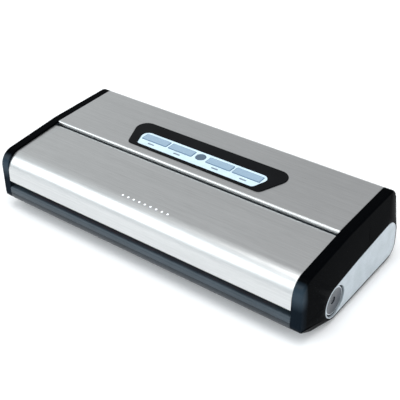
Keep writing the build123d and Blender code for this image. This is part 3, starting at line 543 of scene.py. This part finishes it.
refinish(circuit_board("board_green"), "main_board", "control_board", "lamp_board")
component_black = moulded("component_black", (0.010, 0.010, 0.011), (0.02, 0.02, 0.021), 0.42,
                          1400.0, 0.02 * mm)
refinish(component_black, "key_switches", "lid_switch")
chips = softened("board_components", "board_parts", 0.4 * mm, component_black)
belongs(chips, "base", "component_black", "board_parts")
inlet = softened("mains_socket", "mains_inlet", 0.35 * mm, component_black)
belongs(inlet, "base", "component_black", "mains_inlet")
refinish(plated_brass("contact_brass"), "inlet_contacts")


# ------------------------------------------------------------------ deck, tray and seal
# The black deck behind the front bumper carries the sealing bar, the foam ring of the vacuum
# chamber and a smoke-tinted tray for drawn-out liquid. A tan tape covers the heating wire.
def foam(name, dark, light):
    finish = Finish(name)
    cells = finish.add("ShaderNodeTexVoronoi", values={"Vector": finish.place(),
                                                       "Scale": 1500.0})
    worn = finish.noise(70.0, 4.0)
    tone = finish.ramp(cells * 0.6 + worn * 0.4, (0.15, dark), (0.6, light))
    return finish.surface(Base_Color=tone, Roughness=0.95, Specular_IOR_Level=0.15,
                          Normal=finish.bump(cells, 0.18 * mm))


thread_pitch = 0.45 * mm


def coated_tape(name):
    finish = Finish(name)
    x, y, _ = finish.axes()
    weave = (x * (math.pi / thread_pitch)).wave() * (y * (math.pi / thread_pitch)).wave()
    scorch = finish.noise(1.0, 3.0, (45, 500, 500))
    tone = finish.ramp(scorch, (0.3, (0.20, 0.105, 0.035)), (0.7, (0.36, 0.21, 0.09)))
    return finish.surface(Base_Color=tone, Roughness=scorch * 0.2 + 0.3,
                          Normal=finish.bump(weave, 0.02 * mm))


def smoke_plastic(name):
    finish = Finish(name)
    flow = finish.noise(30.0, 3.0, (1, 4, 4))
    tone = finish.ramp(flow, (0.3, (0.09, 0.095, 0.10)), (0.7, (0.15, 0.155, 0.165)))
    return finish.surface(Base_Color=tone, Roughness=flow * 0.08 + 0.1, IOR=1.49,
                          Transmission_Weight=0.35, Normal=finish.bump(flow, 0.02 * mm))


def rolled_alloy(name):
    finish = Finish(name)
    lines = finish.noise(1.0, 3.0, (30, 3500, 3500))
    tone = finish.ramp(lines, (0.35, (0.52, 0.53, 0.54)), (0.68, (0.66, 0.67, 0.68)))
    return finish.surface(Base_Color=tone, Metallic=1.0, Roughness=lines * 0.2 + 0.26,
                          Normal=finish.bump(lines, 0.01 * mm))


# The deck gets a lighter, bluer copy of the casing's black ABS: a painted sheen standing in for
# the light that falls on the bumper.
deck_painted_sheen_plastic = moulded("deck_black", (0.030, 0.044, 0.056), (0.048, 0.066, 0.082), 0.36, 2200.0,
                       0.012 * mm)
deck = softened("front_deck", "base_deck", 0.35 * mm, deck_painted_sheen_plastic)
belongs(deck, "base", "casing_black", "base_deck")
tray = softened("liquid_tray", "drip_tray", 0.4 * mm, smoke_plastic("tray_smoke"), segments=3)
belongs(tray, "base", "tray_smoke", "drip_tray")
foam_grey = foam("foam_grey", (0.030, 0.031, 0.033), (0.085, 0.087, 0.09))
lower_ring = softened("lower_foam_ring", "lower_gasket", 0.7 * mm, foam_grey, segments=3)
belongs(lower_ring, "base", "foam_grey", "lower_gasket")
seal_bar = softened("seal_bar", "heating_bar", 0.4 * mm, rolled_alloy("bar_alloy"))
belongs(seal_bar, "base", "bar_alloy", "heating_bar")
refinish(coated_tape("tape_tan"), "sealing_tape")


# ------------------------------------------------------------------ rear cover and steel plate
# The back half of the casing is one black moulding. A sheet of brushed stainless steel is laid
# over it, with its front edge rolled down into the seam and its back edge rolled over.
def brushed_steel(name):
    finish = Finish(name)
    hair = finish.noise(1.0, 2.0, (70, 5200, 5200))
    broad = finish.noise(1.0, 3.0, (8, 620, 620))
    smudge = finish.noise(11.0, 5.0)
    lines = hair * 0.6 + broad * 0.4
    tone = finish.ramp(lines, (0.36, (0.545, 0.555, 0.555)), (0.64, (0.645, 0.655, 0.655)))
    return finish.surface(Base_Color=tone, Metallic=1.0,
                          Roughness=lines * 0.16 + smudge * 0.08 + 0.2,
                          Normal=finish.bump(lines, 0.006 * mm))


steel = brushed_steel("stainless")
back_cover = softened("back_cover", "rear_cover", 0.35 * mm, casing)
belongs(back_cover, "base", "casing_black", "rear_cover")
back_plate = softened("back_plate", "rear_plate", 0.25 * mm, steel)
belongs(back_plate, "base", "stainless", "rear_plate")


# ------------------------------------------------------------------ control panel
# A matt black bezel with slanting ends is clipped through the steel. In it lies a pale blue
# keypad with four long keys, a round slate stop button and a small grey lamp under each key.
def satin_pad(name, dark, light):
    finish = Finish(name)
    pearl = finish.noise(1600.0, 2.0)
    drift = finish.noise(60.0, 3.0)
    tone = finish.ramp(drift * 0.7 + pearl * 0.3, (0.38, dark), (0.62, light))
    return finish.surface(Base_Color=tone, Roughness=drift * 0.08 + 0.34,
                          Coat_Weight=0.15, Normal=finish.bump(pearl, 0.006 * mm))


border_width = 0.75 * mm


def key_with_painted_gap_shade(name, low, high):
    """A pale key with a fine dark blue border painted just inside its edge: painted shade
    standing in for the shadowed gap between the key and the plate.
    """
    finish = Finish(name)
    across, along, _ = finish.axes(shift=(-(low.x + high.x) / 2, -(low.y + high.y) / 2, 0))
    side = abs(across) - ((high.x - low.x) / 2 - border_width)
    end = abs(along) - ((high.y - low.y) / 2 - border_width)
    # The dark blue border is painted shade for the gap round the key.
    border = side.largest(end).over(0.0)
    pearl = finish.noise(1500.0, 2.0)
    tone = finish.ramp(pearl, (0.35, (0.25, 0.37, 0.48)), (0.65, (0.30, 0.42, 0.53)))
    tone = finish.blend(border, tone, (0.13, 0.22, 0.33))
    return finish.surface(Base_Color=tone, Roughness=pearl * 0.1 + 0.28, Coat_Weight=0.2,
                          Normal=finish.bump(border, 0.03 * mm))


bezel_black = moulded("bezel_black", (0.0035, 0.0038, 0.0045), (0.006, 0.0065, 0.0075), 0.34,
                      1700.0, 0.008 * mm, 1.12)
bezel = softened("panel_bezel", "control_bezel", 0.3 * mm, bezel_black)
belongs(bezel, "base", "cap_black", "control_bezel")
pad_blue = satin_pad("keypad_blue", (0.56, 0.71, 0.80), (0.64, 0.80, 0.89))
pad = softened("pad_plate", "keypad_plate", 0.12 * mm, pad_blue)
belongs(pad, "base", "keypad_blue", "keypad_plate")
for number in range(1, 5):
    key_low, key_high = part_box(f"mode_key_{number}")
    key_finish = key_with_painted_gap_shade(f"key_blue_{number}", key_low, key_high)
    key = softened(f"key_{number}", f"mode_key_{number}", 0.2 * mm, key_finish)
    belongs(key, f"key_{number}", "key_blue", f"mode_key_{number}")
slate = satin_pad("stop_slate", (0.060, 0.105, 0.155), (0.080, 0.130, 0.185))
stop = softened("stop_key", "stop_button", 0.2 * mm, slate)
belongs(stop, "stop_key", "stop_slate", "stop_button")
refinish(satin_pad("lamp_grey", (0.16, 0.20, 0.25), (0.22, 0.27, 0.33)), "key_lamps")


# ------------------------------------------------------------------ cheek plates and end caps
# A flat black cheek closes each end of the body, and a glossy black cap with a swollen side is
# screwed over it. The cap's lower middle is sunk to take the silver panel.
decimetre = 100 * mm


def gloss_black(name):
    """Polished black, with a painted bluish reflection on its front and a painted highlight,
    bluer still, on the brow above it.
    """
    finish = Finish(name)
    orange_peel = finish.noise(420.0, 2.0)
    dust = finish.noise(1500.0, 7.0)
    wear = finish.noise(24.0, 5.0)
    _, y, z = finish.axes()
    # Painted light: the front mask paints a faint bluish reflection into the colour, and the
    # brow mask above it paints a bluer highlight and adds a coat.
    front = finish.ramp(y * (-1 / decimetre), (0.74, (0, 0, 0)), (0.81, (1, 1, 1)))
    painted_brow_highlight = front * finish.ramp(z * (1 / decimetre), (0.38, (0, 0, 0)), (0.50, (1, 1, 1)))
    tone = finish.ramp(dust, (0.45, (0.0006, 0.0008, 0.0011)), (0.8, (0.003, 0.0036, 0.0045)))
    tone = finish.blend(front, tone, (0.006, 0.010, 0.015))
    tone = finish.blend(painted_brow_highlight, tone, (0.020, 0.036, 0.052))
    return finish.surface(Base_Color=tone, Roughness=wear * 0.10 + 0.13, IOR=1.05,
                          Coat_Weight=painted_brow_highlight * 0.3, Coat_Roughness=0.12,
                          Normal=finish.bump(orange_peel, 0.012 * mm))


cap_gloss = gloss_black("cap_black")
ring_x = 179.5 * mm
ring_width = 1.7 * mm
for side, way in (("left", -1), ("right", 1)):
    cheek = softened(f"cheek_{side}", f"cheek_plate_{side}", 0.3 * mm, casing)
    belongs(cheek, "base", "casing_black", f"cheek_plate_{side}")
    cap = softened(f"cap_{side}", f"end_cap_{side}", 0.5 * mm, cap_gloss, segments=3,
                   ring_x=way * ring_x, ring_width=ring_width)
    belongs(cap, "base", "cap_black", f"end_cap_{side}")


# ------------------------------------------------------------------ side panels
# A thin moulding in satin silver-blue paint, snapped into the recess of each end cap, with a
# round hole for the release button.
def silver_paint(name):
    finish = Finish(name)
    flake = finish.add("ShaderNodeTexVoronoi", values={"Vector": finish.place(),
                                                       "Scale": 3800.0}, out=1)
    sparkle = finish.add("ShaderNodeSeparateXYZ", values={0: flake})
    cloud = finish.noise(85.0, 5.0)
    tone = finish.ramp(cloud * 0.75 + sparkle * 0.25, (0.38, (0.37, 0.42, 0.45)),
                       (0.64, (0.47, 0.52, 0.56)))
    return finish.surface(Base_Color=tone, Metallic=0.35, Roughness=cloud * 0.12 + 0.34,
                          Coat_Weight=0.15, Normal=finish.bump(sparkle, 0.004 * mm))


panel_silver = silver_paint("panel_silver")
for side in ("left", "right"):
    panel = softened(f"panel_{side}", f"side_panel_{side}", 0.3 * mm, panel_silver)
    belongs(panel, "base", "panel_silver", f"side_panel_{side}")


# ------------------------------------------------------------------ release buttons
# Each button is a pressed metal cap, spun to a shallow dish with a round dimple, and it sits on
# a moulded slide that frees the lid's catch. A coil spring behind it pushes it out again.
rim_highlight_from = 12.6 * mm


def spun_metal(name, middle_y, middle_z):
    finish = Finish(name)
    _, y, z = finish.axes(shift=(0, -middle_y, -middle_z))
    radius = (y * y + z * z) ** 0.5
    rings = finish.add("ShaderNodeTexNoise", {"noise_dimensions": "1D"},
                       {"W": radius * (1 / mm), "Scale": 5.0, "Detail": 3.0})
    # Outside this radius the rim's colour is a bright painted highlight.
    rim = radius.over(rim_highlight_from)
    dark = finish.ramp(rings, (0.3, (0.045, 0.052, 0.062)), (0.7, (0.10, 0.11, 0.125)))
    tone = finish.blend(rim, dark, (0.62, 0.66, 0.70))
    return finish.surface(Base_Color=tone, Metallic=1.0, Roughness=rings * 0.16 + 0.16,
                          Normal=finish.bump(rings, 0.02 * mm))


def wound_spring_steel(name):
    finish = Finish(name)
    scale = finish.noise(900.0, 4.0)
    tone = finish.ramp(scale, (0.3, (0.30, 0.30, 0.31)), (0.7, (0.46, 0.46, 0.47)))
    return finish.surface(Base_Color=tone, Metallic=1.0, Roughness=scale * 0.2 + 0.22)


button_low, button_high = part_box("release_button_right")
button_y = (button_low.y + button_high.y) / 2
button_z = (button_low.z + button_high.z) / 2
button_radius = 13.6 * mm
flange_radius = (button_high.y - button_low.y) / 2
flange_height = 1.2 * mm
button_height = button_high.x - button_low.x
rim_round = 0.45 * mm
dish_edge = 12.7 * mm
dish_depth = 1.1 * mm
dish_steps = 8
dimple_radius = 3.5 * mm
dimple_depth = 0.9 * mm
dish_floor = button_height - dish_depth
button_profile = [(0, 0), (flange_radius, 0), (flange_radius, flange_height),
                  (button_radius, flange_height), (button_radius, button_height - rim_round),
                  (button_radius - 0.3 * rim_round, button_height - 0.3 * rim_round),
                  (button_radius - rim_round, button_height), (dish_edge, button_height)]
for step in range(1, dish_steps + 1):
    reach = step / dish_steps
    button_profile.append((dish_edge + (dimple_radius + 0.3 * mm - dish_edge) * reach,
                           button_height - dish_depth * math.sin(reach * math.pi / 2)))
button_profile += [(dimple_radius, dish_floor - 0.15 * mm),
                   (dimple_radius - 0.1 * mm, dish_floor - 0.7 * mm),
                   (dimple_radius * 0.7, dish_floor - dimple_depth),
                   (0, dish_floor - dimple_depth)]
button_metal = spun_metal("button_metal", button_y, button_z)
latch_plastic = moulded("latch_plastic", (0.055, 0.058, 0.06), (0.085, 0.088, 0.09), 0.45,
                        1500.0, 0.015 * mm)
spring_steel = wound_spring_steel("spring_steel")
for side, way in (("left", -1), ("right", 1)):
    upright_turn = Matrix.Rotation(way * math.pi / 2, 4, "Y")
    seat = Matrix.Translation((way * button_low.x, button_y, button_z)) @ upright_turn
    button = new_piece(f"button_{side}", turned("button", button_profile, 96, seat),
                       button_metal)
    belongs(button, f"release_{side}", "button_metal", f"release_button_{side}")
    slide = softened(f"slide_{side}", f"latch_slide_{side}", 0.4 * mm, latch_plastic)
    belongs(slide, f"release_{side}", "latch_plastic", f"latch_slide_{side}")
    refinish(spring_steel, f"button_spring_{side}")


# ------------------------------------------------------------------ lid mouldings
# The lid is a ribbed black shell closed from below by a liner, with a foam ring, a silicone
# strip that presses the bag on the tape, and two hooked catches.
shell = softened("lid_frame", "lid_shell", 0.3 * mm, casing)
belongs(shell, "lid", "casing_black", "lid_shell")
liner = softened("lid_underside", "lid_liner", 0.35 * mm, casing)
belongs(liner, "lid", "casing_black", "lid_liner")
upper_ring = softened("upper_foam_ring", "upper_gasket", 0.7 * mm, foam_grey, segments=3)
belongs(upper_ring, "lid", "foam_grey", "upper_gasket")
press_strip = softened("press_strip", "pressure_bar", 1.1 * mm,
                       silicone("silicone_red", (0.42, 0.05, 0.03), 0.0), segments=4)
belongs(press_strip, "lid", "silicone", "pressure_bar")
for side in ("left", "right"):
    catch = softened(f"catch_{side}", f"lid_catch_{side}", 0.3 * mm, latch_plastic)
    belongs(catch, "lid", "latch_plastic", f"lid_catch_{side}")


# ------------------------------------------------------------------ lid skin and lamps
# A sheet of brushed stainless steel wraps the lid from the seam, over the rolled front, to the
# bag slot. Nine white light pipes for the progress show through small holes in it.
def lens(name):
    finish = Finish(name)
    haze = finish.noise(800.0, 2.0)
    tone = finish.ramp(haze, (0.3, (0.86, 0.88, 0.89)), (0.7, (0.95, 0.96, 0.97)))
    return finish.surface(Base_Color=tone, Roughness=0.25, Subsurface_Weight=0.15,
                          Emission_Color=tone, Emission_Strength=0.35)


skin = softened("lid_sheet", "lid_skin", 0.2 * mm, steel)
belongs(skin, "lid", "stainless", "lid_skin")
refinish(lens("lamp_white"), "progress_lamps")


# ------------------------------------------------------------------ screws
# Cross-head screws hold the deck, the end caps and the lid's liner.
refinish(machined("screw_steel", (0.42, 0.42, 0.43), 0.24), "base_screws", "cap_screws",
         "lid_screws")
